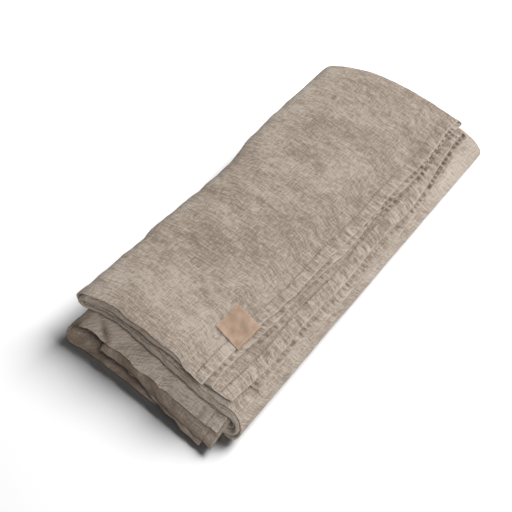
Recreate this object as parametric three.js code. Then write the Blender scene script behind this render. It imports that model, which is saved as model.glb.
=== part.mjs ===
// A linen tablecloth folded into a long bundle, resting flat, with a small label sewn over its top hem.
// Millimetres. +X runs across the bundle, +Y along it from the near end to the far end, +Z is up.
//
// The cloth is one sheet. It is first folded back and forth lengthwise into four layers. That mat of four is
// then folded across into four legs: top leg, middle leg, floor leg, and an inner leg tucked between the
// last two.
import * as THREE from "three";

// The sheet
const clothThickness = 1.5;
const hemThickness = 1.9;
const foldThickness = 1.15; // pressed thinner in the tight folds at the ends
const hemWidth = 13;
const hemSlope = 3; // over which the hem's thickness runs out
const layerPitch = 3.0; // from the middle of one layer to the middle of the next
const layersInMat = 4;
const floorClearance = clothThickness / 2; // height of the lowest layer's middle

// The origin lies under the middle of the bundle, at this place in the plan that the tables are written in.
const bundleMiddle = { x: 92.14, y: 199.67 };

// The mat's own middle line at four stations across the bundle, one row for each leg.
const stationX = [12, 60, 120, 146, 172, 189];
const legHeight = {
  top: [45.3, 47.2, 44.6, 42.8, 40.9, 37.2],
  middle: [33.0, 34.2, 31.7, 30.1, 28.5, 28.5],
  inner: [21.5, 21.5, 19.2, 17.9, 17.0, 17.0],
};
const matHalf = ((layersInMat - 1) / 2) * layerPitch; // from the mat's middle line to its outer layer's
const floorHeight = floorClearance + matHalf;

// The three turns across the bundle, by the height of their two legs.
const upperTurn = {
  middle: (legHeight.top[0] + legHeight.middle[0]) / 2,
  radius: (legHeight.top[0] - legHeight.middle[0]) / 2,
  centreX: 15.4,
};
const sideStation = 4; // of the stations above
const sideTurn = {
  middle: (legHeight.middle[sideStation] + floorHeight) / 2,
  radius: (legHeight.middle[sideStation] - floorHeight) / 2,
  centreX: 172.1,
};
const lowerTurnStation = 6; // where the lower turn begins among the stations of the end tables
const lowerTurn = {
  middle: (legHeight.inner[0] + floorHeight) / 2,
  radius: (legHeight.inner[0] - floorHeight) / 2,
};

// What differs from layer to layer, top layer of the top leg first.
const hemStationY = [20, 90, 200, 320, 395];
const layers = [
  { topHem: [143, 149, 156, 160, 158], innerHem: 163, loopNear: 50, loopFar: 28 },
  { topHem: [151, 154, 160, 163, 161], innerHem: 174.4, loopNear: 50, loopFar: 28 },
  { topHem: [173, 176, 178, 177, 167], innerHem: 174.8, loopNear: 49, loopFar: 28 },
  { topHem: [181, 183, 187, 182, 174], innerHem: 172.2, loopNear: 21.5, loopFar: 28 },
];
const loopSettles = 240; // how far along the bundle the open loop at the near end closes up

// The ends of the layers along the bundle: a line across it, and how far each layer stands back from it at
// the stations of its route: top leg right and left, middle leg left and right, floor leg right, middle and
// left, inner leg left and right.
const nearLine = { x: [0, 35, 60, 100, 146, 185], y: [0, 6, 5, 1, -3, -4] };
const farLine = {
  x: [4, 10, 23, 50, 83, 118, 140, 165, 189],
  y: [381, 385, 395, 405, 410, 411, 409, 407, 402],
};
const nearEnd = [
  [17, 17, 17, 14, 12, 13, 4, -8, -14],
  [23, 15, 16, 15, 10, 12, 2, -7, -9],
  [23, 15, 16, 15, 10, 12, 2, -7, -9],
  [47, 13, 15, 18, 7, -10, -13, -3, 0],
];
const farEnd = [
  [0, 0, 0, 1, 3, 2, 0, -5, -8],
  [0, 0, 0, 1, 3, 2, 0, -5, -8],
  [-3, -2, 0, 2, 6, 4, 2, -3, -5],
  [-3, -2, 0, 2, 6, 4, 2, -3, -5],
];

// Unevenness of the whole bundle
const waist = { depth: 6, y: 203, reach: 48 }; // the left side is drawn in at the middle
const taper = { depth: 5.5, from: 230, over: 150 }; // and towards the far end
const flare = { depth: 11, reach: 85 }; // and spreads at the near end
const leftReach = 70;
const farDroop = { share: 0.14, from: 372, over: 42 };
const nearDroop = { share: 0.07, from: 30, over: 34 };
const innerDroop = { depth: 9, from: 14, over: 36, left: -5, reach: 45 };
const swells = [
  { share: 0.022, alongY: 1 / 46, acrossX: 1 / 61, start: 0.4 },
  { share: 0.014, alongY: 1 / 27, acrossX: -1 / 34, start: 2.1 },
];
const layerRipple = { depth: 0.18, alongY: 1 / 30, acrossX: 1 / 41, perLayer: 2.2 };
const hemRipple = { depth: 1.1, alongY: 1 / 17, perLayer: 1.9 };

// The label, in the same plan
const label = {
  thickness: 1.0,
  gap: 0.3,
  y: 60.5,
  length: 30,
  width: 27,
  skew: 0.16,
  wrap: 1.85, // how far it turns down round the hem's edge, in radians from straight up
};

// How finely the sheet is divided
const topLegSteps = 7;
const legSteps = 5;
const turnSteps = 8;
const endTurnSteps = 4;
const layerStops = [0.06, 0.14, 0.27, 0.47, 0.67, 0.85, 0.96];
const labelSteps = { across: 5, round: 5, along: 5 };

const clamp01 = (t) => Math.min(1, Math.max(0, t));
const ease = (t) => clamp01(t) ** 2 * (3 - 2 * clamp01(t));
const mix = (a, b, t) => a + (b - a) * t;

// A smooth curve through the points (xs, ys), level past its two ends.
function curve(xs, ys, at) {
  const last = xs.length - 1;
  if (at <= xs[0]) return ys[0];
  if (at >= xs[last]) return ys[last];
  const i = xs.findIndex((x) => x > at) - 1;
  const slope = (k) =>
    k === 0 || k === last ? 0 : (ys[k + 1] - ys[k - 1]) / (xs[k + 1] - xs[k - 1]);
  const span = xs[i + 1] - xs[i];
  const t = (at - xs[i]) / span;
  return (
    ys[i] * (1 + 2 * t) * (1 - t) ** 2 +
    ys[i + 1] * t * t * (3 - 2 * t) +
    span * t * (1 - t) * (slope(i) * (1 - t) - slope(i + 1) * t)
  );
}

// A value of the layer table at a layer number that may lie between two layers, as it does in an end fold.
function betweenLayers(layer, read) {
  const i = Math.min(layersInMat - 1, Math.floor(layer));
  const next = Math.min(layersInMat - 1, i + 1);
  return mix(read(i), read(next), layer - i);
}

const alongRoute = (row, station) => {
  const i = Math.min(row.length - 2, Math.floor(station));
  return mix(row[i], row[i + 1], ease(station - i));
};

// How far a layer's middle lies from the mat's, upwards on the top leg. The top layer is number 0.
const offset = (layer) => matHalf - layer * layerPitch;

// The route of one layer across the bundle, at one place along it, before the bundle's unevenness.
const route = {
  topLeg(t, layer, y) {
    const hem = topHemX(layer, y);
    const x = mix(hem, upperTurn.centreX, t);
    return { x, z: curve(stationX, legHeight.top, x) + offset(layer), station: t };
  },
  upperTurn(t, layer) {
    const radius = upperTurn.radius + offset(layer);
    return around(upperTurn, upperTurn.centreX, radius, Math.PI * (0.5 + t), 1 + t);
  },
  middleLeg(t, layer) {
    const x = mix(upperTurn.centreX, sideTurn.centreX, t);
    return { x, z: curve(stationX, legHeight.middle, x) - offset(layer), station: 2 + t };
  },
  sideTurn(t, layer) {
    const radius = sideTurn.radius - offset(layer);
    return around(sideTurn, sideTurn.centreX, radius, Math.PI * (0.5 - t), 3 + t);
  },
  floorLeg(t, layer, y) {
    const x = mix(sideTurn.centreX, loopX(layer, y), t);
    return { x, z: floorHeight + offset(layer), station: 4 + 2 * t };
  },
  lowerTurn(t, layer, y) {
    const radius = lowerTurn.radius - offset(layer);
    return around(lowerTurn, loopX(layer, y), radius, Math.PI * (1.5 - t), lowerTurnStation + t);
  },
  innerLeg(t, layer, y) {
    const x = mix(loopX(layer, y), betweenLayers(layer, (i) => layers[i].innerHem), t);
    return { x, z: curve(stationX, legHeight.inner, x) - offset(layer), station: 7 + t };
  },
};

function around(turn, centreX, radius, angle, station) {
  return { x: centreX + radius * Math.cos(angle), z: turn.middle + radius * Math.sin(angle), station };
}

function topHemX(layer, y) {
  const ripple = hemRipple.depth * Math.sin(y * hemRipple.alongY + layer * hemRipple.perLayer);
  return ripple + betweenLayers(layer, (i) => curve(hemStationY, layers[i].topHem, y));
}

function loopX(layer, y) {
  const settled = ease(y / loopSettles);
  return betweenLayers(layer, (i) => mix(layers[i].loopNear, layers[i].loopFar, settled));
}

// The bundle's unevenness, as a bend of the space that it lies in, so that its layers stay apart.
function settle({ x, y, z, station }, layer) {
  const left = ease((leftReach - x) / leftReach);
  const atWaist = waist.depth * Math.exp(-(((y - waist.y) / waist.reach) ** 2));
  const drawnIn = atWaist + taper.depth * ease((y - taper.from) / taper.over);
  const spread = flare.depth * Math.exp(-Math.max(0, y) / flare.reach);
  const innerShare = clamp01(station - lowerTurnStation) * ease((x - innerDroop.left) / innerDroop.reach);
  const sunk = innerDroop.depth * innerShare * ease((innerDroop.from - y) / innerDroop.over);
  let share = 1;
  share -= farDroop.share * ease((y - farDroop.from) / farDroop.over);
  share -= nearDroop.share * ease((nearDroop.from - y) / nearDroop.over);
  for (const s of swells) share += s.share * Math.sin(y * s.alongY + x * s.acrossX + s.start);
  const ripple =
    layerRipple.depth *
    Math.sin(y * layerRipple.alongY + x * layerRipple.acrossX + layer * layerRipple.perLayer);
  const lifted = clamp01((z - floorClearance) / layerPitch); // nothing moves where the cloth lies flat
  return new THREE.Vector3(
    x + left * (drawnIn - spread) - bundleMiddle.x,
    y - bundleMiddle.y,
    floorClearance + (z - floorClearance) * share - sunk + ripple * lifted,
  );
}

// Layers that join in a fold end on one line, that of the layer number halfway between them.
const nearPartner = (layer) => (layer < 0.5 ? 0 : layer < 2.5 ? 1.5 : 3);
const farPartner = (layer) => (layer < 1.5 ? 0.5 : 2.5);

// Where a layer ends, from a line across the bundle and a table of how far it stands back from that line.
function endY(line, table, across, layer) {
  const { x, station } = route[across.stretch](across.t, layer, bundleMiddle.y);
  return curve(line.x, line.y, x) + betweenLayers(layer, (i) => alongRoute(table[i], station));
}

// One point of the sheet's middle surface: a stop on the route across, and a stop on the way along.
function sheetPoint(across, along) {
  const from = endY(nearLine, nearEnd, across, nearPartner(along.layer));
  const to = endY(farLine, farEnd, across, farPartner(along.layer));
  const y = mix(from, to, along.share) + along.bulge + along.inset;
  return settle({ ...route[across.stretch](across.t, along.layer, y), y }, along.layer);
}

// The stops across: both hems are marked out, then each leg and turn is divided evenly.
function stopsAcross() {
  const stops = [];
  const add = (stretch, from, to, steps, first = 0) => {
    for (let i = first; i <= steps; i++) stops.push({ stretch, t: mix(from, to, i / steps), hem: 0 });
  };
  const legLength = layers[0].topHem[2] - upperTurn.centreX;
  const hemEnds = [0, hemWidth / legLength, (hemWidth + hemSlope) / legLength];
  stops.push({ stretch: "topLeg", t: 0, hem: 1 });
  stops.push({ stretch: "topLeg", t: hemEnds[1], hem: 1 });
  add("topLeg", hemEnds[2], 1, topLegSteps);
  add("upperTurn", 0, 1, turnSteps, 1);
  add("middleLeg", 0, 1, legSteps, 1);
  add("sideTurn", 0, 1, turnSteps, 1);
  add("floorLeg", 0, 1, legSteps, 1);
  add("lowerTurn", 0, 1, turnSteps, 1);
  add("innerLeg", 0, 1 - hemEnds[2], legSteps, 1);
  stops.push({ stretch: "innerLeg", t: 1 - hemEnds[1], hem: 1 });
  stops.push({ stretch: "innerLeg", t: 1, hem: 1 });
  return stops;
}

// The stops along: out and back through the four layers, with a half turn where two layers join.
function stopsAlong() {
  const stops = [];
  const bend = layerPitch / 2;
  const add = (layer, share, hem = 0, inset = 0, bulge = 0) =>
    stops.push({ layer, share, hem, inset: inset + mix(bend, -bend, share), bulge, folded: bulge !== 0 });
  const hemStops = [
    [0, 1],
    [hemWidth, 1],
    [hemWidth + hemSlope, 0],
  ];
  const lastLayer = layersInMat - 1;
  const nearFoldStop = hemWidth + hemSlope / 2;
  for (const [inset, hem] of hemStops) add(0, 0, hem, inset);
  for (let layer = 0; layer < layersInMat; layer++) {
    const outward = layer % 2 === 0; // from the near end to the far end
    const [start, end] = outward ? [0, 1] : [1, 0];
    if (layer > 0) add(layer, start);
    if (layer > 0 && outward) add(layer, 0, 0, nearFoldStop);
    for (const share of outward ? layerStops : [...layerStops].reverse()) add(layer, share);
    if (layer === lastLayer) break;
    if (!outward) add(layer, 0, 0, nearFoldStop);
    add(layer, end);
    for (let i = 1; i < endTurnSteps; i++) {
      const angle = (Math.PI * i) / endTurnSteps;
      const bulge = (outward ? 1 : -1) * bend * Math.sin(angle);
      add(layer + (1 - Math.cos(angle)) / 2, end, 0, 0, bulge);
    }
  }
  for (const [inset, hem] of [...hemStops].reverse()) add(lastLayer, 0, hem, inset);
  return stops;
}

// A closed sheet from a grid of middle points and the half thickness at each.
function sheetGeometry(middle, half) {
  const rows = middle.length;
  const columns = middle[0].length;
  const points = [];
  for (const side of [1, -1])
    for (let i = 0; i < rows; i++)
      for (let j = 0; j < columns; j++) {
        const before = middle[Math.max(0, i - 1)][j];
        const after = middle[Math.min(rows - 1, i + 1)][j];
        const under = middle[i][Math.max(0, j - 1)];
        const over = middle[i][Math.min(columns - 1, j + 1)];
        const normal = new THREE.Vector3()
          .subVectors(after, before)
          .cross(new THREE.Vector3().subVectors(over, under))
          .normalize();
        const point = middle[i][j].clone().addScaledVector(normal, side * half[i][j]);
        points.push(point.x, point.y, Math.max(0, point.z));
      }
  return closedGrid(points, rows, columns);
}

// Two grids of points, one over the other, closed round their rim.
function closedGrid(points, rows, columns) {
  const faces = [];
  const at = (side, i, j) => side * rows * columns + i * columns + j;
  const quad = (a, b, c, d) => faces.push(a, b, c, a, c, d);
  const last = { i: rows - 1, j: columns - 1 };
  for (let i = 0; i < rows - 1; i++)
    for (let j = 0; j < columns - 1; j++) {
      quad(at(0, i, j), at(0, i + 1, j), at(0, i + 1, j + 1), at(0, i, j + 1));
      quad(at(1, i, j), at(1, i, j + 1), at(1, i + 1, j + 1), at(1, i + 1, j));
    }
  for (let i = 0; i < rows - 1; i++) {
    quad(at(0, i, 0), at(1, i, 0), at(1, i + 1, 0), at(0, i + 1, 0));
    quad(at(0, i, last.j), at(0, i + 1, last.j), at(1, i + 1, last.j), at(1, i, last.j));
  }
  for (let j = 0; j < columns - 1; j++) {
    quad(at(0, 0, j), at(0, 0, j + 1), at(1, 0, j + 1), at(1, 0, j));
    quad(at(0, last.i, j), at(1, last.i, j), at(1, last.i, j + 1), at(0, last.i, j + 1));
  }
  const geometry = new THREE.BufferGeometry();
  geometry.setAttribute("position", new THREE.Float32BufferAttribute(points, 3));
  geometry.setIndex(faces);
  geometry.computeVertexNormals();
  return geometry;
}

function clothGeometry() {
  const across = stopsAcross();
  const along = stopsAlong();
  const middle = across.map((a) => along.map((b) => sheetPoint(a, b)));
  const thickness = (a, b) =>
    b.folded ? foldThickness : mix(clothThickness, hemThickness, Math.max(a.hem, b.hem));
  const half = across.map((a) => along.map((b) => thickness(a, b) / 2));
  return sheetGeometry(middle, half);
}

// The label lies on the top layer's hem and turns down round its edge.
function labelGeometry() {
  const topLayer = (x, y) => {
    const z = curve(stationX, legHeight.top, x) + offset(0);
    return settle({ x, y, z, station: 0 }, 0);
  };
  const frameAt = (x, y) => {
    const point = topLayer(x, y);
    const outward = topLayer(x + 1, y).sub(point).normalize();
    const forward = topLayer(x, y + 1).sub(point).normalize();
    return { point, outward, normal: new THREE.Vector3().crossVectors(outward, forward).normalize() };
  };
  const inner = hemThickness / 2 + label.gap;
  const points = [];
  const rows = labelSteps.across + labelSteps.round + 1;
  const columns = labelSteps.along + 1;
  for (const radius of [inner + label.thickness, inner])
    for (let i = 0; i < rows; i++)
      for (let j = 0; j < columns; j++) {
        const flat = label.width * (1 - Math.min(1, i / labelSteps.across));
        const turned = label.wrap * clamp01((i - labelSteps.across) / labelSteps.round);
        const y = label.y + (label.length * j) / labelSteps.along + label.skew * flat;
        const { point, outward, normal } = frameAt(topHemX(0, y) - flat, y);
        point.addScaledVector(normal, radius * Math.cos(turned));
        point.addScaledVector(outward, radius * Math.sin(turned));
        points.push(point.x, point.y, point.z);
      }
  return closedGrid(points, rows, columns);
}

const linen = new THREE.MeshStandardMaterial({ color: "#a3978a", roughness: 0.92, metalness: 0 });
const tan = new THREE.MeshStandardMaterial({ color: "#c39c78", roughness: 0.75, metalness: 0 });

function named(name, geometry, material) {
  const mesh = new THREE.Mesh(geometry, material);
  mesh.name = name;
  return mesh;
}

const foldedTablecloth = new THREE.Group();
foldedTablecloth.add(named("tablecloth", clothGeometry(), linen));
foldedTablecloth.add(named("sewn_label", labelGeometry(), tan));

export default foldedTablecloth;
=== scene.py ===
import math

import bmesh
import bpy
import numpy as np
from mathutils import Matrix, Vector


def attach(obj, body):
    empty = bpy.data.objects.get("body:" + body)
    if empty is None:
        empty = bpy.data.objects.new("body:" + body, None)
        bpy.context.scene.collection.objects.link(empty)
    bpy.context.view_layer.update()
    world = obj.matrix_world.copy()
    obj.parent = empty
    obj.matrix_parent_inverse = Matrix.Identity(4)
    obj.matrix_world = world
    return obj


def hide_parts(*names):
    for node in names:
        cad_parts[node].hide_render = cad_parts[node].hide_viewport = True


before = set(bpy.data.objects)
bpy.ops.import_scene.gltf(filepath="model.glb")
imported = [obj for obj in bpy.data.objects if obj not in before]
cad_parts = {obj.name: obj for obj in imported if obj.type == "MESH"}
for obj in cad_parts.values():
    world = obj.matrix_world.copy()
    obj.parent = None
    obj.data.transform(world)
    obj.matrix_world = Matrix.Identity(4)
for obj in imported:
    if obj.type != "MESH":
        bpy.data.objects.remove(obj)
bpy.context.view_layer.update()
mm = 0.001  # the tables below are in millimetres


# The camera at the photograph's angle, and the light

view = {
    "azimuth": 37.5,
    "elevation": 55.0,
    "focalPixels": 1150.0,  # at 512 pixels across
    "distance": 1080.0,
    "target": (-2.1, -39.7, 25.0),
    "sensor": 36.0,
}

studio = {
    "floorColour": (0.9, 0.9, 0.905),
    "floorSize": 40.0,
    "floorDrop": -0.0002,
    "floorGlow": (0.5, 1.3),  # where the far floor starts to give off its own light, and where fully
    "worldStrength": 0.07,
    "keyPlace": (0.45, 1.25, 1.35),
    "keySize": 1.1,
    "keyPower": 29.5,
    "floorPower": 50.0,  # the key's extra light on the floor alone, which keeps it white
    "fillPlace": (0.75, -0.5, 1.45),
    "fillSize": 0.6,
    "fillPower": 20.0,  # on the cloth alone
}


def makeCamera():
    turn, rise = math.radians(view["azimuth"]), math.radians(view["elevation"])
    back = Vector((math.sin(turn) * math.cos(rise), -math.cos(turn) * math.cos(rise), math.sin(rise)))
    data = bpy.data.cameras.new("camera")
    data.sensor_width = view["sensor"]
    data.lens = view["focalPixels"] / 512 * view["sensor"]
    camera = bpy.data.objects.new("camera", data)
    bpy.context.scene.collection.objects.link(camera)
    camera.location = (Vector(view["target"]) + back * view["distance"]) * mm
    camera.rotation_euler = back.to_track_quat("Z", "Y").to_euler()
    bpy.context.scene.camera = camera
    print("camera: azimuth", view["azimuth"], "elevation", view["elevation"])


def areaLight(name, place, size, power, onlyOn=()):
    data = bpy.data.lights.new(name, "AREA")
    data.size = size
    data.energy = power
    light = bpy.data.objects.new(name, data)
    bpy.context.scene.collection.objects.link(light)
    light.location = place
    light.rotation_euler = Vector(place).to_track_quat("Z", "Y").to_euler()
    if onlyOn:
        lit = bpy.data.collections.new(name + "_lights")
        for piece in onlyOn:
            lit.objects.link(piece)
        light.light_linking.receiver_collection = lit


def makeStudio(pieces):
    world = bpy.data.worlds.new("studio")
    bpy.context.scene.world = world
    world.use_nodes = True
    world.node_tree.nodes["Background"].inputs["Color"].default_value = (1, 1, 1, 1)
    world.node_tree.nodes["Background"].inputs["Strength"].default_value = studio["worldStrength"]
    bpy.context.scene.view_settings.view_transform = "Standard"
    bm = bmesh.new()
    bmesh.ops.create_grid(bm, x_segments=1, y_segments=1, size=studio["floorSize"] / 2)
    bmesh.ops.translate(bm, verts=bm.verts, vec=(0, 0, studio["floorDrop"]))
    floor = newPiece("floor", bm, floorMaterial())
    areaLight("key", studio["keyPlace"], studio["keySize"], studio["keyPower"])
    areaLight("floor_key", studio["keyPlace"], studio["keySize"], studio["floorPower"], [floor])
    areaLight("fill", studio["fillPlace"], studio["fillSize"], studio["fillPower"], pieces)
    print("studio: floor, key and fill")


def newPiece(name, bm, material):
    mesh = bpy.data.meshes.new(name)
    bm.to_mesh(mesh)
    bm.free()
    mesh.materials.append(material)
    piece = bpy.data.objects.new(name, mesh)
    bpy.context.scene.collection.objects.link(piece)
    return piece


# Materials. A Wire is one output of a node, and sums on it add Math nodes.

class Wire:
    def __init__(self, tree, socket=None):
        self.tree = tree
        self.socket = socket

    def node(self, kind, inputs, output=0, stops=None, **settings):
        made = self.tree.nodes.new("ShaderNode" + kind)
        for name, value in settings.items():
            setattr(made, name, value)
        for i, (place, value) in enumerate(stops or []):
            stop = made.color_ramp.elements[i] if i < 2 else made.color_ramp.elements.new(place)
            stop.position = place
            stop.color = (*value, 1)
        for name, value in inputs.items():
            if isinstance(value, Wire):
                self.tree.links.new(value.socket, made.inputs[name])
            else:
                made.inputs[name].default_value = value
        return Wire(self.tree, made.outputs[output] if made.outputs else None)

    def sum(self, operation, *values):
        return self.node("Math", dict(enumerate(values)), operation=operation)

    def __add__(self, other):
        return self.sum("ADD", self, other)

    def __radd__(self, other):
        return self.sum("ADD", other, self)

    def __sub__(self, other):
        return self.sum("SUBTRACT", self, other)

    def __rsub__(self, other):
        return self.sum("SUBTRACT", other, self)

    def __mul__(self, other):
        return self.sum("MULTIPLY", self, other)

    def __rmul__(self, other):
        return self.sum("MULTIPLY", other, self)

    def __abs__(self):
        return self.sum("ABSOLUTE", self)

    def smooth(self, low, high):
        # 0 below low and 1 above high, or the other way round where low is the larger
        ends = {"From Min": min(low, high), "From Max": max(low, high), "Value": self}
        ends.update({"To Min": float(low > high), "To Max": float(low <= high)})
        return self.node("MapRange", ends, interpolation_type="SMOOTHSTEP")

    def grain(self, u, v, perU, perV, detail=0.0, shift=0.0):
        # noise that runs perU and perV times in each millimetre of u and v, centred on 0
        place = self.node("CombineXYZ", {0: u * perU + shift, 1: v * perV - shift})
        settings = {"Vector": place, "Scale": 1.0, "Detail": detail, "Roughness": 0.55}
        return self.node("TexNoise", settings, noise_dimensions="2D") - 0.5

    def blend(self, share, first, second):
        inputs = {"Factor": share, 6: first, 7: second}
        return self.node("Mix", inputs, output=2, data_type="RGBA")

    def ramp(self, look, low, high):
        # dark at low and pale at high
        stops = [(low, look["dark"]), (high, look["pale"]), (0.5, look["middle"])]
        return self.node("ValToRGB", {"Fac": self}, stops=stops)

    def attribute(self, name):
        return self.node("Attribute", {}, output=2, attribute_name=name)

    def flatPlace(self):
        # the place on the flat cloth or label, in millimetres
        split = self.node("SeparateXYZ", {0: self.node("UVMap", {}, uv_map="flat")})
        return split * (1 / mm), Wire(self.tree, split.socket.node.outputs[1]) * (1 / mm)

    def grains(self, look, u, v):
        parts = {name: self.grain(u, v, *run) for name, run in look["grains"].items()}
        for name, limits in look["cuts"].items():
            parts[name] = parts[name].smooth(*limits)
        return parts


def weighed(parts, weights):
    return sum(parts[name] * weight for name, weight in weights.items())


def newMaterial(name):
    material = bpy.data.materials.new(name)
    material.use_nodes = True
    material.node_tree.nodes.clear()
    return material, Wire(material.node_tree)


def finishMaterial(wire, inputs, height=None):
    # height is in millimetres
    if height is not None:
        bump = {"Height": height, "Strength": 1.0, "Distance": mm}
        inputs["Normal"] = wire.node("Bump", bump)
    shader = wire.node("BsdfPrincipled", inputs)
    wire.node("OutputMaterial", {"Surface": shader})


def floorMaterial():
    material, wire = newMaterial("floor")
    place = wire.node("TexCoord", {}, output=3)
    away = wire.node("VectorMath", {0: place}, output=1, operation="LENGTH").smooth(*studio["floorGlow"])
    finishMaterial(wire, {
        "Base Color": (*studio["floorColour"], 1),
        "Roughness": 0.9,
        "Specular IOR Level": 0.1,
        "Emission Color": wire.blend(away, (0, 0, 0, 1), (1, 1, 1, 1)),
        "Emission Strength": 1.0,
    })
    return material


linen = {
    "dark": (0.24, 0.188, 0.145),
    "middle": (0.348, 0.291, 0.238),
    "pale": (0.46, 0.397, 0.338),
    "speck": (0.6, 0.545, 0.48),
    "paleEdges": (0.54, 0.48, 0.42),
    # the colour of the painted shade, in the gaps, under lifted hems and along the seam
    "shade": (0.1, 0.066, 0.044),
    "thread": 0.62,  # from one thread to the next
    "seam": 11.7,  # how far inside the hem's edge it is sewn
    "seamWidth": (1.3, 0.4),
    "seamUneven": (0.5, 2.0),
    "hemBand": (14.5, 9.0),  # where the hem's puckers end and where they are full
    "uneven": 0.9,
    "roughness": 0.92,
    "smoothSlubs": 0.08,
    "sheen": 0.08,
    # how often each runs in a millimetre across and along, its detail, and its shift from the others
    "grains": {
        "driftU": (0.35, 0.06),
        "driftV": (0.06, 0.35, 0.0, 7.0),
        "acrossThreads": (0.2, 1.45, 1.0),
        "alongThreads": (1.45, 0.2, 1.0, 31.0),
        "acrossBands": (0.03, 0.3, 2.0, 3.0),
        "slubs": (0.13, 1.1, 0.0, 57.0),
        "alongSlubs": (1.1, 0.13, 0.0, 91.0),
        "clouds": (0.025, 0.045, 3.0, 11.0),
        "patches": (0.008, 0.014, 1.0, 23.0),
        "fuzz": (0.75, 0.75, 2.0, 77.0),
        "thickAcross": (0.075, 0.6, 1.0, 103.0),
        "thickAlong": (0.6, 0.1, 1.0, 117.0),
        "puckers": (0.05, 0.19, 1.0, 41.0),
        "specks": (0.42, 0.42, 0.0, 131.0),
        "crumple": (0.08, 0.15, 2.0, 19.0),
    },
    "cuts": {"slubs": (0.2, 0.32), "alongSlubs": (0.22, 0.32), "specks": (0.34, 0.385)},
    # how much each adds to the tone, and in millimetres to the height
    # the puckers' tone is painted light and shade of their own bumps
    "tone": {"acrossThreads": 0.9, "alongThreads": 0.75, "acrossBands": 0.5, "clouds": 0.68, "fuzz": 0.7,
             "thickAcross": 0.95, "thickAlong": 0.78, "patches": 0.8, "over": 0.08, "slubs": 0.25,
             "alongSlubs": -0.18, "puckers": 0.9},
    "height": {"over": 0.055, "acrossThreads": 0.13, "alongThreads": 0.11, "slubs": 0.1, "alongSlubs": 0.08,
               "fuzz": 0.12, "crumple": 0.5, "clouds": 0.9, "puckers": 2.4, "seam": -0.5},
    "speckShare": 0.5,
    "paleEdgeShare": 0.5,
    "gapShare": (0.55, 1.6),  # how dark the painted shade in the gaps is, and how much the clouds change that
    "underEdge": [(-0.4, 0.4), (5.0, 2.0)],  # where the shade under a lifted hem starts and ends
    "underShare": 0.8,
    "seamShadeShare": 0.7,
}


def linenMaterial():
    material, wire = newMaterial("washed_linen")
    u, v = wire.flatPlace()
    fromSide, pastUpper = wire.attribute("fromSide"), wire.attribute("pastUpper")
    parts = wire.grains(linen, u, v)

    # threads that go over and under each other, each a little thicker or thinner than the next
    turn = math.pi / linen["thread"]
    overU = wire.sum("SINE", (u + parts["driftU"] * linen["uneven"]) * turn)
    overV = wire.sum("SINE", (v + parts["driftV"] * linen["uneven"]) * turn)
    parts["over"] = overU * overV
    # the puckers' tone in the hem band is painted light and shade that follows their bumps
    parts["puckers"] = parts["puckers"] * fromSide.smooth(*linen["hemBand"])
    # the sewn line: a groove in the height, and in the colour a painted shade of the groove and its puckers
    even, uneven = linen["seamUneven"]
    onSeam = abs(fromSide - linen["seam"]).smooth(*linen["seamWidth"])
    parts["seam"] = onSeam * (even + parts["puckers"] * uneven)

    colour = (weighed(parts, linen["tone"]) + 0.5).ramp(linen, 0.1, 0.9)
    colour = wire.blend(parts["specks"] * linen["speckShare"], colour, (*linen["speck"], 1))
    colour = wire.blend(wire.attribute("paleEdges") * linen["paleEdgeShare"], colour, (*linen["paleEdges"], 1))
    # painted shade: the colour darkens in the gaps between plies and in deep folds, under lifted hem edges and
    # along the seam
    deep, cloudy = linen["gapShare"]
    shadeInGaps = wire.attribute("paintedShade") * (deep + parts["clouds"] * cloudy)
    starts, ends = linen["underEdge"]
    underEdge = pastUpper.smooth(*starts) * pastUpper.smooth(*ends) * wire.attribute("lifted")
    for share in (shadeInGaps, underEdge * linen["underShare"], parts["seam"] * linen["seamShadeShare"]):
        colour = wire.blend(share, colour, (*linen["shade"], 1))

    height = weighed(parts, linen["height"])
    roughness = linen["roughness"] - parts["slubs"] * linen["smoothSlubs"]
    finishMaterial(wire, {
        "Base Color": colour,
        "Roughness": roughness,
        "Specular IOR Level": 0.2,
        "Sheen Weight": linen["sheen"],
        "Sheen Roughness": 0.5,
    }, height)
    return material


# The folded cloth. Its places are written in the plan of the bundle, with x across it and y along it.

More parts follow.
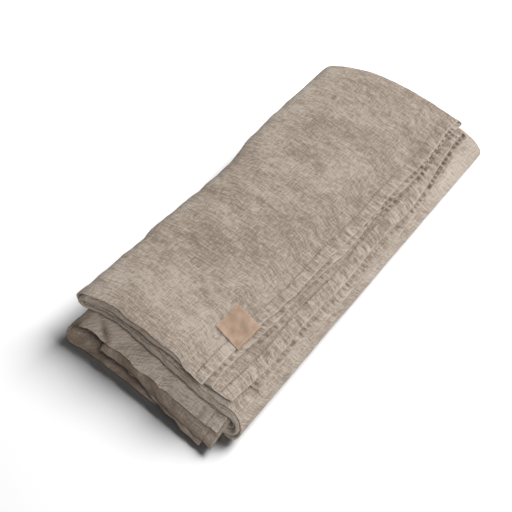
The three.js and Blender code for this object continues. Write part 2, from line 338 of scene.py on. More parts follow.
fold = {
    "origin": (92.14, 199.67),
    "thickness": 1.5,
    "hemThickness": 1.9,
    "foldThickness": 1.15,
    "edgeRound": ([0, 0.3, 0.9, 2.2], [0.3, 0.72, 0.95, 1]),  # a free edge's thickness, as a share, inwards
    "hemWidth": 13.0,
    "pitch": 3.0,  # from one layer's middle to the next
    "stationX": [12, 60, 120, 146, 172, 189],
    "topHeight": [45.3, 47.2, 44.6, 42.8, 40.9, 37.2],
    "middleHeight": [33.0, 34.2, 31.7, 30.1, 28.5, 28.5],
    "innerHeight": [21.5, 21.5, 19.2, 17.9, 17.0, 17.0],
    "upperTurnX": 15.4,
    "sideTurnX": 172.1,
    "hemStationY": [20, 90, 200, 320, 395],
    "topHem": [[143, 149, 156, 160, 158], [151, 154, 160, 163, 161], [173, 176, 178, 177, 167],
               [181, 183, 187, 182, 174]],
    "innerHem": [163, 174.4, 174.8, 172.2],
    "loopNear": [50, 50, 49, 21.5],
    "loopFar": [28, 28, 28, 28],
    "loopSettles": 240,
    "nearX": [0, 35, 60, 100, 146, 185],
    "nearY": [0, 6, 5, 1, -3, -4],
    "farX": [4, 10, 23, 50, 83, 118, 140, 165, 189],
    "farY": [381, 385, 395, 405, 410, 411, 409, 407, 402],
    "nearEnd": [[17, 17, 17, 14, 12, 13, 4, -8, -14], [23, 15, 16, 15, 10, 12, 2, -7, -9],
                [23, 15, 16, 15, 10, 12, 2, -7, -9], [47, 13, 15, 18, 7, -10, -13, -3, 0]],
    "farEnd": [[0, 0, 0, 1, 3, 2, 0, -5, -8], [0, 0, 0, 1, 3, 2, 0, -5, -8],
               [-3, -2, 0, 2, 6, 4, 2, -3, -5], [-3, -2, 0, 2, 6, 4, 2, -3, -5]],
    "waist": (6, 203, 48),  # how far the left side is drawn in, where, and over what reach
    "taper": (5.5, 230, 150),
    "flare": (11, 85),
    "leftReach": 70,
    "farDroop": (0.14, 372, 42),
    "nearDroop": (0.07, 30, 34),
    "innerDroop": (9, 14, 36, -5, 45),
    "swells": [(0.022, 1 / 46, 1 / 61, 0.4), (0.014, 1 / 27, -1 / 34, 2.1)],
    "layerRipple": (0.18, 1 / 30, 1 / 41, 2.2),
    "hemRipple": (1.1, 1 / 17, 1.9),
    "paleEdging": (0.9, 0.7),  # how far in from a free edge the cloth is paler, and how much paler an end fold is
}

layerCount = 4
matHalf = (layerCount - 1) / 2 * fold["pitch"]
lowest = fold["thickness"] / 2
floorHeight = lowest + matHalf
lowerStation = 6  # where the lower turn begins among the stations of the end tables


def ease(t):
    t = np.clip(t, 0, 1)
    return t * t * (3 - 2 * t)


def mix(a, b, t):
    return a + (b - a) * t


def curve(xs, ys, at):
    # a smooth curve through the points, level past its two ends
    xs, ys = np.array(xs, float), np.array(ys, float)
    slope = np.zeros(len(xs))
    slope[1:-1] = (ys[2:] - ys[:-2]) / (xs[2:] - xs[:-2])
    at = np.clip(at, xs[0], xs[-1])
    i = np.clip(np.searchsorted(xs, at, side="right") - 1, 0, len(xs) - 2)
    span = xs[i + 1] - xs[i]
    t = (at - xs[i]) / span
    ends = ys[i] * (1 + 2 * t) * (1 - t) ** 2 + ys[i + 1] * t * t * (3 - 2 * t)
    return ends + span * t * (1 - t) * (slope[i] * (1 - t) - slope[i + 1] * t)


def softNoise(a, b, seed):
    # smooth noise from about -0.8 to 0.8, which changes once in each unit of a and b
    a, b = np.broadcast_arrays(np.asarray(a, float), np.asarray(b, float))
    lowA, lowB = np.floor(a), np.floor(b)

    def pull(stepA, stepB):
        # the slope of one lattice corner, in a direction scattered by its place
        scattered = np.sin((lowA + stepA) * 127.1 + (lowB + stepB) * 311.7 + seed * 74.7) * 43758.5453
        angle = 2 * math.pi * (scattered - np.floor(scattered))
        return np.cos(angle) * (a - lowA - stepA) + np.sin(angle) * (b - lowB - stepB)

    low = mix(pull(0, 0), pull(1, 0), ease(a - lowA))
    high = mix(pull(0, 1), pull(1, 1), ease(a - lowA))
    return 1.5 * mix(low, high, ease(b - lowB))


def betweenLayers(layer, values):
    # values holds one number or array for each layer, and layer may lie between two of them
    return sum(np.clip(1 - abs(layer - i), 0, 1) * value for i, value in enumerate(values))


def alongRoute(row, station):
    row = np.array(row, float)
    i = np.clip(np.floor(station).astype(int), 0, len(row) - 2)
    return mix(row[i], row[i + 1], ease(station - i))


def offset(layer):
    return matHalf - layer * fold["pitch"]


def topHemX(layer, y):
    depth, along, perLayer = fold["hemRipple"]
    edge = betweenLayers(layer, [curve(fold["hemStationY"], row, y) for row in fold["topHem"]])
    return edge + depth * np.sin(y * along + layer * perLayer)


def loopX(layer, y):
    settled = ease(y / fold["loopSettles"])
    ends = zip(fold["loopNear"], fold["loopFar"])
    return betweenLayers(layer, [mix(near, far, settled) for near, far in ends])


def leg(x, z, station, facing):
    # facing is the way that the cloth's first face looks: up is 1 and down is -1
    return x, z + 0 * x, station + 0 * x, 0 * x, facing + 0 * x


def bend(middle, centreX, radius, angle, station, facing):
    # facing is 1 where the cloth's first face looks outwards
    x = centreX + radius * np.cos(angle)
    z = middle + radius * np.sin(angle)
    return x, z, station + 0 * x, facing * np.cos(angle) + 0 * x, facing * np.sin(angle) + 0 * x


def route(stretch, t, layer, y):
    # one layer's way across the bundle, before its unevenness: x, height, station and its first face's way
    top, middle, inner = fold["topHeight"], fold["middleHeight"], fold["innerHeight"]
    left, right = fold["upperTurnX"], fold["sideTurnX"]
    if stretch == "topLeg":
        x = mix(topHemX(layer, y), left, t)
        return leg(x, curve(fold["stationX"], top, x) + offset(layer), t, 1)
    if stretch == "upperTurn":
        radius = (top[0] - middle[0]) / 2 + offset(layer)
        return bend((top[0] + middle[0]) / 2, left, radius + 0 * y, math.pi * (0.5 + t), 1 + t, 1)
    if stretch == "middleLeg":
        x = mix(left, right, t) + 0 * y
        return leg(x, curve(fold["stationX"], middle, x) - offset(layer), 2 + t, -1)
    if stretch == "sideTurn":
        radius = (middle[4] - floorHeight) / 2 - offset(layer)
        return bend((middle[4] + floorHeight) / 2, right, radius + 0 * y, math.pi * (0.5 - t), 3 + t, -1)
    if stretch == "floorLeg":
        x = mix(right, loopX(layer, y), t)
        return leg(x, floorHeight + offset(layer), 4 + 2 * t, 1)
    if stretch == "lowerTurn":
        radius = (inner[0] - floorHeight) / 2 - offset(layer)
        centre = loopX(layer, y)
        return bend((inner[0] + floorHeight) / 2, centre, radius, math.pi * (1.5 - t), lowerStation + t, -1)
    x = mix(loopX(layer, y), betweenLayers(layer, fold["innerHem"]), t)
    return leg(x, curve(fold["stationX"], inner, x) - offset(layer), 7 + t, -1)


def endY(line, table, stretch, t, layer):
    x, _, station, *_ = route(stretch, t, layer, fold["origin"][1])
    return curve(*line, x) + betweenLayers(layer, [alongRoute(row, station) for row in table])


def settle(x, y, z, station, layer):
    depth, at, reach = fold["waist"]
    drawnIn = depth * np.exp(-(((y - at) / reach) ** 2))
    drawnIn = drawnIn + fold["taper"][0] * ease((y - fold["taper"][1]) / fold["taper"][2])
    spread = fold["flare"][0] * np.exp(-np.maximum(0, y) / fold["flare"][1])
    depth, start, over, left, reach = fold["innerDroop"]
    innerShare = np.clip(station - lowerStation, 0, 1) * ease((x - left) / reach)
    sunk = depth * innerShare * ease((start - y) / over)
    share = 1 - fold["farDroop"][0] * ease((y - fold["farDroop"][1]) / fold["farDroop"][2])
    share = share - fold["nearDroop"][0] * ease((fold["nearDroop"][1] - y) / fold["nearDroop"][2])
    for depth, alongY, acrossX, start in fold["swells"]:
        share = share + depth * np.sin(y * alongY + x * acrossX + start)
    depth, alongY, acrossX, perLayer = fold["layerRipple"]
    ripple = depth * np.sin(y * alongY + x * acrossX + layer * perLayer)
    ripple = ripple * np.clip((z - lowest) / fold["pitch"], 0, 1)
    x = x + ease((fold["leftReach"] - x) / fold["leftReach"]) * (drawnIn - spread)
    return x - fold["origin"][0], y - fold["origin"][1], lowest + (z - lowest) * share - sunk + ripple


# How finely the sheet is divided, with the hem's own lines marked out

division = {
    "hemLines": [0, 0.3, 0.9, 2.2, 4.2, 6.4, 8.6, 10.6, 11.7, 12.7, 13.5, 16.0],
    "stitchLine": 8,  # which of these lines is sewn
    "legLength": 140.6,
    "innerLegLength": 147.0,
    "layerLength": 390.0,
    "stepsAcross": {"topLeg": 26, "upperTurn": 9, "middleLeg": 9, "sideTurn": 14, "floorLeg": 8,
                    "lowerTurn": 10, "innerLeg": 10},
    "stepsAlong": [66, 30, 30, 50],
    "crowded": 0.7,  # how much closer the rows stand towards the two ends
    "endTurnSteps": 6,
    "hemSpacing": 1.45,
    "topSpacing": 2.6,
    "endSpacing": 3.6,
    "endReach": 22.0,
    "sideSpacing": 4.0,
}


def stopsAcross():
    # the whole number is the stretch, and the rest is the share of the way along it
    hem = np.array(division["hemLines"])
    stops = []
    for i, (name, steps) in enumerate(division["stepsAcross"].items()):
        inner = np.linspace(0, 1, steps + 1)[1:]
        if name == "topLeg":
            cut = hem / division["legLength"]
            inner = np.concatenate([cut, mix(cut[-1], 1, inner)])
        if name == "innerLeg":
            cut = hem / division["innerLegLength"]
            inner = np.concatenate([(1 - cut[-1]) * inner, 1 - cut[-2::-1]])
        stops.append(i + inner)
    return np.concatenate(stops)


def stopsAlong():
    # for each stop: the layer, the share of the way, what is added to y, and the bulge of an end fold
    hem = division["hemLines"]
    half = fold["pitch"] / 2
    rows = []
    for layer in range(layerCount):
        even = np.linspace(0, 1, division["stepsAlong"][layer] + 1)
        shares = mix(even, (1 - np.cos(math.pi * even)) / 2, division["crowded"])
        hemmed = layer in (0, layerCount - 1)
        if hemmed:
            shares = mix(hem[-1] / division["layerLength"], 1, even)
        layerRows = [(layer, share, 0, 0) for share in shares]
        if hemmed:
            layerRows = [(layer, 0, inset, 0) for inset in hem[:-1]] + layerRows
        if layer % 2:
            layerRows.reverse()
        rows += layerRows
        if layer < layerCount - 1:
            outward = 1 if layer % 2 == 0 else -1
            for i in range(1, division["endTurnSteps"]):
                angle = math.pi * i / division["endTurnSteps"]
                bulge = outward * half * math.sin(angle)
                rows.append((layer + (1 - math.cos(angle)) / 2, (1 + outward) / 2, 0, bulge))
    return np.array(rows, float).T


acrossStops = stopsAcross()
alongStops = stopsAlong()
stretches = list(division["stepsAcross"])


def nearPartner(layer):
    return np.where(layer < 0.5, 0, np.where(layer < 2.5, 1.5, 3))


def farPartner(layer):
    return np.where(layer < 1.5, 0.5, 2.5)


# Creases and swells of the cloth, in the same plan, each crease with its half width, its height and its line.
# The last number of a softNoise call is its seed.

relief = {
    "layerShare": [1.0, 0.85, 0.7, 0.6],
    "ridges": [(70, 26, 1.3, 1), (38, 13, 0.85, 2), (16, 8, 0.34, 3)],  # reach across and along, height, seed
    "noisePeak": 1.4,
    "topEnds": 1.9,  # the station at which the top's creases have died away
    "creaseShare": 1.25,
    "topCreases": [
        (3.4, 0.75, [(14, 154), (45, 150), (78, 143), (114, 138), (139, 134)]),
        (6.5, -0.8, [(20, 141), (60, 134), (100, 127), (140, 121)]),
        (2.6, 0.5, [(60, 109), (90, 107), (106, 106), (133, 102), (148, 97)]),
        (7.5, -1.0, [(6, 100), (26, 96), (42, 93), (62, 98), (78, 104)]),
        (3.2, -0.45, [(9, 71), (46, 72), (69, 73), (94, 78)]),
        (4.5, 0.5, [(12, 84), (40, 81), (72, 86), (100, 92)]),
        (2.8, 0.55, [(53, 383), (72, 385), (95, 392), (107, 391)]),
        (7.0, -0.9, [(50, 262), (69, 258), (96, 252), (116, 254)]),
        (6.5, -0.9, [(70, 318), (89, 310), (108, 304), (125, 298), (140, 284)]),
        (5.0, 0.6, [(90, 295), (108, 287), (145, 276)]),
        (2.6, -0.5, [(112, 364), (119, 359), (128, 350), (137, 344)]),
        (5.0, -0.6, [(20, 335), (48, 340), (80, 335)]),
        (3.0, 0.5, [(16, 292), (50, 284), (84, 283)]),
        (6.0, -0.7, [(10, 232), (40, 226), (90, 228), (130, 219)]),
        (4.0, 0.6, [(20, 206), (70, 200), (120, 195), (146, 190)]),
        (5.0, -0.7, [(14, 178), (50, 174), (96, 170), (140, 161)]),
        (3.0, 0.55, [(98, 30), (104, 33), (112, 37)]),
        (2.4, -0.5, [(108, 27), (116, 30), (128, 33)]),
        (2.2, 0.5, [(122, 22), (130, 27), (140, 30)]),
        (2.6, -0.4, [(70, 27), (90, 33), (106, 42)]),
    ],
    "loopCreases": [  # on the outer layer's inner leg, which shows at the near end
        (2.6, -3.4, [(27, 22), (34, 15), (42, 7), (46, -3)]),
        (4.0, 1.6, [(18, 20), (24, 11), (33, 0)]),
        (1.5, -1.7, [(147, 17), (150, 9), (152, 0)]),
        (3.0, 0.8, [(140, 14), (143, 6), (144, 0)]),
        (2.5, -0.5, [(58, 18), (63, 10), (69, 4)]),
        (3.0, 0.5, [(84, 16), (92, 8), (99, 2)]),
        (2.5, -0.4, [(104, 17), (112, 9), (118, 2)]),
    ],
    "hemPitch": 7.3,
    "hemUneven": (4.0, 13),
    "hemStrength": (0.8, 1.3, 26, 0.1, 1.4),  # the mean, how uneven and over what reach, the least and the most
    "hemSharp": 1.6,
    "hemShift": 0.9,  # from one layer's puckers to the next
    "heldFlat": (77, 19, 0.85),  # where the sewn label holds the hem flat, over what reach and how much
    "hemRise": [2.0, 1.6, 2.1, 1.5],
    "hemReach": 5.0,
    "hemPucker": (0.24, 0.3, 2),
    "hemBand": (7, 6),
    "hemLifted": 1.5,
    "farShare": (0.45, 1.2, 215, 330),  # how strong the puckers are near and far, and between which places
    "groove": (0.28, 0.8),
    "rolled": (1.0, 1.7),  # how far a near end turns down, and over what reach
    "nearKink": ([55, 91, 111, 118, 128, 146], [0, 2.4, 3.9, 1.2, 0.1, -0.8]),
    "plies": (9, 0.8, 14),
    "pliesOnTop": 0.4,
    "pliesFlat": (4, 6.2),  # the stations between which the plies lie flat on the floor
    "loopShows": (6.1, 0.5),
    "loopFades": (14, 10),
    "innerSwell": (24, 13, 1.3),
    "sideWave": (24, 0.8),
    "leftWave": (30, 0.7),
    "endJitter": [(15, 1.5, 21), (6, 0.7, 22)],
    "lowerJitter": 1.35,  # how much more uneven the lower near ends are
    "farJitter": 0.6,
    "tuckedIn": (1.2, 2.7, 4.3, 0.5),  # how far the inner layers stop short round the side fold, and where
    "holes": [(170, 76, 5.0, 2.2, 2)],  # a deep pucker: x, y, reach, rise and layer
    # the painted shade: the stations it covers, how strong it is and how far in it reaches
    "innerPlies": 6.3,  # shaded past this station, and between the next pairs
    "floorPlies": (4.3, 5.9),
    "loopMouth": (5.7, 6.95),
    "upperPlies": (1, 3.1),
    "upperShade": (140, 15),
    "shades": [(1.0, 40), (1.4, 20), (0.55, 16)],  # lower plies, mouth and upper plies: how much and how far in
    "shadedFold": 3,
}

farOff = 99  # stands for a place that no edge is near


def creaseField(x, y, creases):
    total = 0 * x
    for halfWidth, height, line in creases:
        nearest = np.full(x.shape, 1e9)
        for (x0, y0), (x1, y1) in zip(line, line[1:]):
            stepX, stepY = x1 - x0, y1 - y0
            t = np.clip(((x - x0) * stepX + (y - y0) * stepY) / (stepX ** 2 + stepY ** 2), 0, 1)
            nearest = np.minimum(nearest, np.hypot(x - x0 - t * stepX, y - y0 - t * stepY))
        total = total + height * np.exp(-((nearest / halfWidth) ** 2))
    return total


def hemCrest(layer, y):
    # how far each layer's hem lifts off the next, from 0 to about 1.4
    near, far, start, end = relief["farShare"]
    strength = mix(near, far, ease((y - start) / (end - start)))
    mean, spread, reach, least, most = relief["hemStrength"]
    uneven = np.clip(mean + spread * softNoise(y / reach, layer * 3.1, 11), least, most)
    at, reach, held = relief["heldFlat"]
    spared = np.exp(-(((y - at) / reach) ** 4)) * (layer < 1)
    drift, reach = relief["hemUneven"]
    phase = 2 * math.pi * y / relief["hemPitch"] + drift * softNoise(y / reach, layer * 5.3, 12)
    crest = (0.5 + 0.5 * np.cos(phase + layer * relief["hemShift"])) ** relief["hemSharp"]
    return crest * strength * uneven * (1 - held * spared)


def loopRelief(x, y, station, layer):
    # the folds of the outer layer's inner leg, which die away under the top
    first, over = relief["loopShows"]
    inner = ease((station - first) / over) * np.clip(layer - 2, 0, 1)
    reachX, reachY, height = relief["innerSwell"]
    loop = creaseField(x, y, relief["loopCreases"]) + height * softNoise(x / reachX, y / reachY, 16)
    level, fade = relief["loopFades"]
    return inner * loop * np.exp(-np.maximum(0, y - level) / fade)


def within(station, low, high):
    return (station > low) & (station < high)


def paintedShadeOf(x, y, station, layer, fromNear):
    # painted shade: how little light reaches the cloth between its plies at the near end and in its deep folds,
    # darkening its colour
    inward = np.maximum(0, fromNear)
    lower = np.clip(3 - layer, 0, 1) * (station > relief["innerPlies"]) + within(station, *relief["floorPlies"])
    mouth = within(station, *relief["loopMouth"]) & (layer > 2.5)
    end, reach = relief["upperShade"]
    covered = within(station, *relief["upperPlies"]) | (station < 1) & (layer > 0.6)
    upper = covered * ease((end - x) / reach)
    gaps = [share * place * np.exp(-inward / fade)
            for place, (share, fade) in zip((lower, mouth, upper), relief["shades"])]
    folds = np.clip(-loopRelief(x, y, station, layer) / relief["shadedFold"], 0, 1)
    return np.max([*gaps, folds], axis=0)


def reliefOf(x, y, station, layer, fromSide, fromEnd, fromNear):
    # how far the cloth stands proud of its plain folds, towards its first face
    share = betweenLayers(layer, relief["layerShare"])
    top = sum(height * relief["noisePeak"] * softNoise(x / across, y / along, seed)
              for across, along, height, seed in relief["ridges"])
    top = top + relief["creaseShare"] * creaseField(x, y, relief["topCreases"])
    raised = top * share * ease(relief["topEnds"] - station)

    onTop = station < 1
    crest = hemCrest(layer, y) * onTop
    raised = raised + betweenLayers(layer, relief["hemRise"]) * crest * np.exp(-fromSide / relief["hemReach"])
    middle, reach = relief["hemBand"]
    depth, level, gain = relief["hemPucker"]
    raised = raised + depth * (crest - level) * gain * np.exp(-(((fromSide - middle) / reach) ** 2))
    for atX, atY, reach, rise, ofLayer in relief["holes"]:
        away = np.hypot(x - atX, y - atY) / reach
        raised = raised + rise * np.exp(-(away ** 2)) * onTop * (np.abs(layer - ofLayer) < 0.5)

    depth, reach = relief["rolled"]
    raised = raised - depth * np.exp(-fromEnd / reach) * np.where(onTop, 1, 0) * (layer < 1)
    depth, halfWidth = relief["groove"]
    sewn = division["hemLines"][division["stitchLine"]]
    groove = np.exp(-(((fromSide - sewn) / halfWidth) ** 2))
    raised = raised - depth * groove * np.where(onTop, 1, -1)

    reach, height, inwards = relief["plies"]
    plies = softNoise(x / reach, layer * 2.3, 6) * height * relief["noisePeak"] * np.exp(-fromNear / inwards)
    raised = raised + plies * ~within(station, *relief["pliesFlat"]) * np.where(onTop, relief["pliesOnTop"], 1)
    raised = raised - loopRelief(x, y, station, layer)

    reach, height = relief["sideWave"]
    window = np.sin(math.pi * np.clip(station - 3, 0, 1))
    raised = raised + softNoise(y / reach, station * 2, 8) * height * window * share
    reach, height = relief["leftWave"]
    window = np.sin(math.pi * np.clip(station - 1, 0, 1))
    return raised + softNoise(y / reach, station * 2, 9) * height * window * share


def endsOf(stretch, t, ply):
    # where a layer's near and far ends lie along the bundle, with what is uneven in them
    start = endY((fold["nearX"], fold["nearY"]), fold["nearEnd"], stretch, t, nearPartner(ply))
    end = endY((fold["farX"], fold["farY"]), fold["farEnd"], stretch, t, farPartner(ply))
    x, _, station, *_ = route(stretch, t, ply, start)
    lower = mix(1, relief["lowerJitter"], ease(station - 3))
    along = np.round(ply) * 1.7 + station
    for reach, depth, seed in relief["endJitter"]:
        start = start + depth * lower * softNoise(x / reach, along, seed)
        end = end + relief["farJitter"] * depth * softNoise(x / reach, along, seed + 40)
    short, first, last, over = relief["tuckedIn"]
    tucked = ease((station - first) / over) * ease((last - station) / over) * np.clip(3 - ply, 0, 1)
    kink = curve(*relief["nearKink"], x) * (station < 1) * np.clip(1.5 - ply, 0, 1)
    return start + short * tucked + kink, end


def places(row, column):
    # the sheet at these rows and columns, which may lie between two: its points, and what is known of each
    row, column = np.asarray(row, float), np.asarray(column, float)
    layer, share, inset, bulge = (np.interp(row, np.arange(len(line)), line) for line in alongStops)
    travel = np.interp(column, np.arange(len(acrossStops)), acrossStops)
    stretchOf = np.minimum(travel.astype(int), len(stretches) - 1)
    added = inset + bulge + mix(fold["pitch"] / 2, -fold["pitch"] / 2, share)
    known = np.zeros((7, len(row)))
    for i, stretch in enumerate(stretches):
        here = stretchOf == i
        if not here.any():
            continue
        t, ply = (travel - i)[here], layer[here]
        start, end = endsOf(stretch, t, ply)
        y = mix(start, end, share[here]) + added[here]
        x, z, station, faceX, faceZ = route(stretch, t, ply, y)
        known[:, here] = x, y, z, station, faceX, faceZ, y - start
    x, y, z, station, faceX, faceZ, fromNear = known
    fromSide = np.where(stretchOf == 0, (travel - stretchOf) * division["legLength"], farOff)
    lastSide = (len(stretches) - travel) * division["innerLegLength"]
    fromSide = np.where(stretchOf == len(stretches) - 1, lastSide, fromSide)
    fromEnd = np.where((layer == 0) | (layer == layerCount - 1), fromNear, farOff)
    raised = reliefOf(x, y, station, layer, fromSide, fromEnd, fromNear)
    points = np.stack(settle(x + raised * faceX, y, z + raised * faceZ, station, layer), axis=-1)
    # how far past the upper layer's hem edge, and how much that edge lifts: these place the painted shade under
    # it
    covered = (station < 1) & (layer > 0.6)
    pastUpper = np.where(covered, x - topHemX(np.maximum(layer - 1, 0), y), farOff)
    lifted = np.where(covered, np.clip(hemCrest(layer - 1, y) * relief["hemLifted"], 0, 1), 0)
    paintedShade = paintedShadeOf(x, y, station, layer, fromNear)
    known = {"layer": layer, "fromSide": fromSide, "fromEnd": fromEnd, "planY": y}
    return points, {**known, "pastUpper": pastUpper, "lifted": lifted, "paintedShade": paintedShade}


def gridOf():
    rows, columns = np.arange(alongStops.shape[1]), np.arange(len(acrossStops))
    allRows, allColumns = np.meshgrid(rows, columns)
    points, known = places(allRows.ravel(), allColumns.ravel())
    return points.reshape(*allRows.shape, 3), known["planY"].reshape(allRows.shape)


grid, planY = gridOf()


def flatPlaces():
    # how far each crossing of the sheet lies from its first side and its first end, along the cloth
    across = np.zeros(grid.shape[:2])
    along = np.zeros(grid.shape[:2])
    across[1:] = np.cumsum(np.linalg.norm(np.diff(grid, axis=0), axis=-1), axis=0)
    along[:, 1:] = np.cumsum(np.linalg.norm(np.diff(grid, axis=1), axis=-1), axis=1)
    return across, along


def between(table, row, column):
    # a table's value at a row and a column that may lie between two
    i = np.clip(column.astype(int), 0, table.shape[0] - 2)
    j = np.clip(row.astype(int), 0, table.shape[1] - 2)
    low = mix(table[i, j], table[i + 1, j], column - i)
    high = mix(table[i, j + 1], table[i + 1, j + 1], column - i)
    return mix(low, high, row - j)


def rowAt(layer, y, column):
    rows = np.flatnonzero(alongStops[0] == layer)
    rows = rows[np.argsort(planY[column, rows])]
    return np.interp(y, planY[column, rows], rows)


def refine(bm, way, spacing, inside):
    # divides the edges that run along (way 0) or across (way 1), where inside(row, column) says so
    steps = np.linalg.norm(np.diff(grid, axis=1 - way), axis=-1).mean(axis=way)
    groups = {}
    for edge in bm.edges:
        a, b = edge.verts[0].co, edge.verts[1].co
        if abs(a[1 - way] - b[1 - way]) > 1e-4:
            continue
        middle = (a + b) / 2
        length = abs(a[way] - b[way]) * steps[min(int(middle[way]), len(steps) - 1)]
        cuts = round(length / spacing) - 1
        if cuts > 0 and inside(middle.x, middle.y):
            groups.setdefault(cuts, []).append(edge)
    for cuts, edges in groups.items():
        bmesh.ops.subdivide_edges(bm, edges=edges, cuts=cuts, use_grid_fill=True)


def refineCloth(bm):
    layerOf = alongStops[0]
    steps = division["stepsAcross"]
    hemEnd = len(division["hemLines"])
    topEnd = hemEnd - 1 + steps["topLeg"]
    sideStart = topEnd + steps["upperTurn"] + steps["middleLeg"]
    sideEnd = sideStart + steps["sideTurn"]
    topRows = np.flatnonzero(layerOf == 0)[-1]
    outerRows = np.flatnonzero(layerOf == layerCount - 1)[0]
    fromNear = planY - planY.min(axis=1, keepdims=True)
    fromFar = planY.max(axis=1, keepdims=True) - planY
    fromEnds = np.minimum(fromNear, fromFar).min(axis=0)
    ends = fromEnds < division["endReach"]
    top, side, end = division["topSpacing"], division["sideSpacing"], division["endSpacing"]
    refine(bm, 0, division["hemSpacing"], lambda row, column: column <= hemEnd)
    refine(bm, 0, top, lambda row, column: hemEnd < column <= topEnd and row < topRows)
    refine(bm, 1, top, lambda row, column: hemEnd - 1 < column <= topEnd and row < topRows)
    refine(bm, 0, side, lambda row, column: sideStart < column < sideEnd and row > outerRows)
    refine(bm, 1, end, lambda row, column: column > topEnd and bool(ends[round(row)]))


def makeCloth():
    across, along = flatPlaces()
    bm = bmesh.new()
    columns, rows = across.shape
    bmesh.ops.create_grid(bm, x_segments=rows - 1, y_segments=columns - 1, size=0.5)
    for vert in bm.verts:
        vert.co = (round((vert.co.x + 0.5) * (rows - 1)), round((vert.co.y + 0.5) * (columns - 1)), 0)
    refineCloth(bm)
    row, column = np.array([vert.co[:2] for vert in bm.verts]).T
    points, known = places(row, column)
    flatPlace = np.stack([between(across, row, column), between(along, row, column)], axis=-1)
    fromEdge = np.minimum(known["fromSide"], known["fromEnd"])
    endFold = np.sin(math.pi * (known["layer"] % 1))
    thickness = mix(fold["thickness"], fold["hemThickness"], fromEdge < fold["hemWidth"] + 0.1)
    thickness = thickness * np.interp(fromEdge, *fold["edgeRound"])
    thickness = np.where(endFold > 0, fold["foldThickness"], thickness)
    values = {name: known[name] for name in ("fromSide", "pastUpper", "lifted", "paintedShade")}
    reach, foldPale = fold["paleEdging"]
    values["paleEdges"] = np.maximum(np.exp(-fromEdge / reach), endFold * foldPale)
    layers = {name: bm.verts.layers.float.new(name) for name in values}
    deform = bm.verts.layers.deform.verify()
    flat = bm.loops.layers.uv.new("flat")
    bm.verts.index_update()
    for i, vert in enumerate(bm.verts):
        vert.co = points[i] * mm
        for name, layer in layers.items():
            vert[layer] = values[name][i]
        vert[deform][0] = thickness[i] / fold["hemThickness"]
    for face in bm.faces:
        face.smooth = True
        for loop in face.loops:
            loop[flat].uv = flatPlace[loop.vert.index] * mm
    print("cloth:", len(bm.faces), "faces, flat", across[-1].mean(), "by", along[:, -1].mean())
    piece = newPiece("linen_cloth", bm, linenMaterial())
    piece.vertex_groups.new(name="thickness")
    solidify = piece.modifiers.new("thickness", "SOLIDIFY")
    solidify.thickness = fold["hemThickness"] * mm
    solidify.offset = 0
    solidify.vertex_group = "thickness"
    return piece


# The sewing, as one thread's short stitches that lie in the hem's groove

sewing = {
    "pitch": 3.3,
    "halfLength": 1.35,
    "halfWidth": 0.27,
    "halfHeight": 0.2,
    "sunk": 0.25,  # the share of its half height that lies in the cloth
    "corner": 13.0,  # how far each line starts from the cloth's corner
    "farStop": 2.0,
    "innerReach": 40.0,  # how far the inner leg's line is sewn from its near end, where it shows
    "colour": (0.5, 0.45, 0.385),
    "deep": 0.72,
    "grain": 1600.0,
    "twist": (900.0, 3.0, 0.05),  # how often, how uneven and how deep
}


def surfaceAt(row, column):
    # points of the cloth's middle, with the outward way, the way along it, and its upper face's direction
    nudge = 0.03
    point = places(row, column)[0]
    along = places(row + nudge, column)[0] - point
    outward = point - places(row, column + nudge)[0]
    along = along / np.linalg.norm(along, axis=1, keepdims=True)
    outward = outward - along * np.sum(outward * along, axis=1, keepdims=True)
    outward = outward / np.linalg.norm(outward, axis=1, keepdims=True)
    up = np.cross(outward, along)
    return point, outward, along, up * np.sign(up[:, 2:])


def addStitches(bm, row, column, lift):
    point, outward, along, up = surfaceAt(row, column)
    point = point + up * (lift - sewing["halfHeight"] * sewing["sunk"])
    for at, length, width, height in zip(point, along, outward, up):
        sizes = sewing["halfLength"], sewing["halfWidth"], sewing["halfHeight"]
        axes = [Vector(way) * size * mm for way, size in zip((length, width, height), sizes)]
        place = Matrix.Translation(Vector(at) * mm) @ Matrix(axes).transposed().to_4x4()
        bmesh.ops.create_uvsphere(bm, u_segments=6, v_segments=4, radius=1, matrix=place)


def threadMaterial():
    material, wire = newMaterial("sewing_thread")
    place = wire.node("TexCoord", {}, output=3)
    often, uneven, depth = sewing["twist"]
    tone = wire.node("TexNoise", {"Vector": place, "Scale": sewing["grain"], "Detail": 2.0})
    twist = wire.node("TexWave", {"Vector": place, "Scale": often, "Distortion": uneven}, output=1)
    pale = sewing["colour"]
    deep = tuple(value * sewing["deep"] for value in pale)
    finishMaterial(wire, {
        "Base Color": wire.blend(tone, (*deep, 1), (*pale, 1)),
        "Roughness": 0.7,
        "Specular IOR Level": 0.3,
    }, twist * depth)
    return material


def addLine(bm, layer, line, start, end):
    rows = rowAt(layer, np.arange(start, end, sewing["pitch"]), line)
    addStitches(bm, rows, np.full(len(rows), float(line)), fold["hemThickness"] / 2)


def makeStitches():
    bm = bmesh.new()
    outerLine = division["stitchLine"]
    for layer in range(layerCount):
        ys = planY[outerLine][alongStops[0] == layer]
        addLine(bm, layer, outerLine, ys.min() + sewing["corner"], ys.max() - sewing["farStop"])
    innerLine = len(acrossStops) - 1 - outerLine
    near = planY[innerLine][alongStops[0] == layerCount - 1].min()
    addLine(bm, layerCount - 1, innerLine, near + sewing["pitch"], near + sewing["innerReach"])
    print("hem stitches:", len(bm.faces), "faces")
    return newPiece("hem_stitches", bm, threadMaterial())


# The label, sewn over the top layer's hem

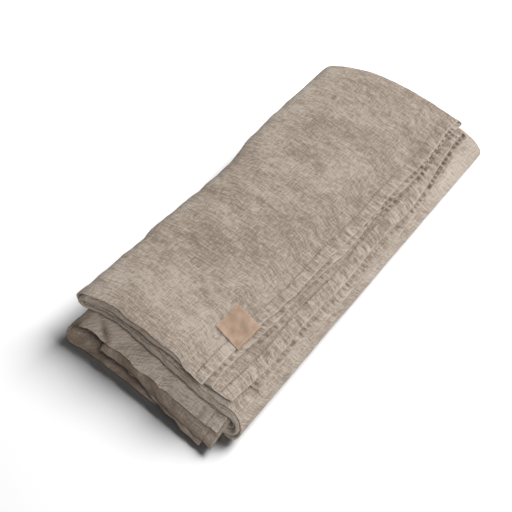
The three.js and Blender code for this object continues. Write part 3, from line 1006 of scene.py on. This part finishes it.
label = {
    "y": 59.2,
    "length": 30.0,
    "width": 30.0,
    "skew": 0.19,
    "wrap": 1.85,
    "thickness": 0.7,
    "gap": 0.22,
    "lifted": (1.0, 5.0),  # how far its near edge stands off, and over what reach
    "steps": (26, 10, 26),
    "liftedWave": (10, 0.7, 0.5, 0.55),  # where that is full, its mean, its wave and how often
    "anchors": (0, 2.2, 14, 31),
    "bevel": 0.12,
    "inset": 1.6,
    "stitchPitch": 2.5,
    "stitchMargin": 3,
    "stitchSpan": (0.92, 0.04),  # the sewn share of the edge, and where it starts
    "stitchHalf": 0.015,  # half a stitch, as a share of the edge
    "stitchSize": (0.85, 0.9, 0.8),
    "dark": (0.28, 0.18, 0.115),
    "middle": (0.375, 0.262, 0.185),
    "pale": (0.465, 0.345, 0.257),
    "grains": {
        "fibres": (0.9, 2.1, 3.0),
        "mottle": (0.09, 0.12, 3.0, 5.0),
        "pores": (2.4, 2.4, 1.0, 17.0),
    },
    "cuts": {"pores": (0.16, 0.3)},
    "tone": {"fibres": 0.5, "mottle": 0.9, "pores": -0.25, "paleEdges": 0.14},
    "height": {"fibres": 0.05, "mottle": 0.25, "pores": -0.06},
    "paleEdgeLimits": (1.3, 0.2),
}


def labelMaterial():
    material, wire = newMaterial("tan_label")
    parts = wire.grains(label, *wire.flatPlace())
    parts["paleEdges"] = wire.attribute("fromEdge").smooth(*label["paleEdgeLimits"])
    finishMaterial(wire, {
        "Base Color": (weighed(parts, label["tone"]) + 0.5).ramp(label, 0.15, 0.85),
        "Roughness": 0.72 + parts["fibres"] * 0.1,
        "Specular IOR Level": 0.3,
    }, weighed(parts, label["height"]))
    return material


def labelPoints(inward, share):
    # inward runs from the hem's edge, and below 0 it is the angle turned down round it
    flat = np.maximum(inward, 0)
    y = label["y"] + label["length"] * share + label["skew"] * flat
    hem = division["hemLines"]
    step = (division["legLength"] - hem[-1]) / division["stepsAcross"]["topLeg"]
    anchors = np.array(label["anchors"])
    laid = []
    for anchor in anchors:
        # the patch bridges the hem's fine ripples between a few lines across it
        column = np.interp(anchor, hem, np.arange(len(hem)))
        column = len(hem) - 1 + (anchor - hem[-1]) / step if anchor > hem[-1] else column
        laid.append(surfaceAt(rowAt(0, y, int(column)), np.full(len(y), column)))
    last = np.clip(np.searchsorted(anchors, flat, side="right") - 1, 0, len(anchors) - 2)
    way = ((flat - anchors[last]) / (anchors[last + 1] - anchors[last]))[:, None]
    each = np.arange(len(flat))
    point, outward, along, up = (mix(np.array(kind)[last, each], np.array(kind)[last + 1, each], way)
                                 for kind in zip(*laid))
    off, reach = label["lifted"]
    full, mean, wave, often = label["liftedWave"]
    lift = off * np.exp(-share * label["length"] / reach) * ease(flat / full)
    lift = lift * (mean + wave * np.cos(flat * often))
    radius = fold["hemThickness"] / 2 + label["gap"] + label["thickness"] / 2
    turned = np.maximum(-inward, 0)[:, None]
    return point + up * (radius * np.cos(turned) + lift[:, None]) + outward * radius * np.sin(turned)


def makeLabel():
    flatSteps, roundSteps, alongSteps = label["steps"]
    inward = np.concatenate([np.linspace(label["width"], 0, flatSteps + 1),
                             -np.linspace(0, label["wrap"], roundSteps + 1)[1:]])
    bm = bmesh.new()
    bmesh.ops.create_grid(bm, x_segments=alongSteps, y_segments=len(inward) - 1, size=0.5)
    place = np.array([vert.co[:2] for vert in bm.verts]) + 0.5
    down = inward[np.round(place[:, 1] * (len(inward) - 1)).astype(int)]
    share = place[:, 0]
    points = labelPoints(down, share)
    flat = bm.loops.layers.uv.new("flat")
    fromEdge = bm.verts.layers.float.new("fromEdge")
    far = label["width"] - down
    sides = np.minimum(share, 1 - share) * label["length"]
    bm.verts.index_update()
    for i, vert in enumerate(bm.verts):
        vert.co = points[i] * mm
        vert[fromEdge] = min(far[i], sides[i])
    for face in bm.faces:
        face.smooth = True
        for loop in face.loops:
            i = loop.vert.index
            loop[flat].uv = (down[i] * mm, share[i] * label["length"] * mm)
    print("label:", len(bm.faces), "faces")
    piece = newPiece("label_patch", bm, labelMaterial())
    solidify = piece.modifiers.new("thickness", "SOLIDIFY")
    solidify.thickness = label["thickness"] * mm
    solidify.offset = 0
    bevel = piece.modifiers.new("edges", "BEVEL")
    bevel.width = label["bevel"] * mm
    bevel.segments = 2
    bevel.limit_method = "ANGLE"
    return piece


def makeLabelStitches():
    bm = bmesh.new()
    count = int((label["length"] - label["stitchMargin"]) / label["stitchPitch"])
    span, start = label["stitchSpan"]
    share = (np.arange(count) + 0.5) / count * span + start
    inward = np.full(count, label["width"] - label["inset"])
    ends = [labelPoints(inward, share + side) for side in (-label["stitchHalf"], label["stitchHalf"])]
    length, width, height = label["stitchSize"]
    size = sewing["halfWidth"] * width
    up = Vector((0, 0, 1))
    for first, last in zip(*ends):
        middle, along = Vector((first + last) / 2), Vector(last - first).normalized()
        sideways = along.cross(up).normalized()
        rise = sideways.cross(along)
        middle = middle + rise * label["thickness"] / 2
        axes = [along * length * mm, sideways * size * mm, rise * size * height * mm]
        place = Matrix.Translation(middle * mm) @ Matrix(axes).transposed().to_4x4()
        bmesh.ops.create_uvsphere(bm, u_segments=6, v_segments=4, radius=1, matrix=place)
    print("label stitches:", len(bm.faces), "faces")
    return newPiece("label_stitches", bm, threadMaterial())


makeCamera()
cloth = makeCloth()
stitches = makeStitches()
patch = makeLabel()
labelStitches = makeLabelStitches()
makeStudio([cloth, stitches, patch, labelStitches])
for piece in (cloth, stitches, patch, labelStitches):
    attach(piece, "root")
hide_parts("tablecloth")
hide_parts("sewn_label")
print("pieces:", {piece.name: len(piece.data.polygons) for piece in (cloth, stitches, patch, labelStitches)})
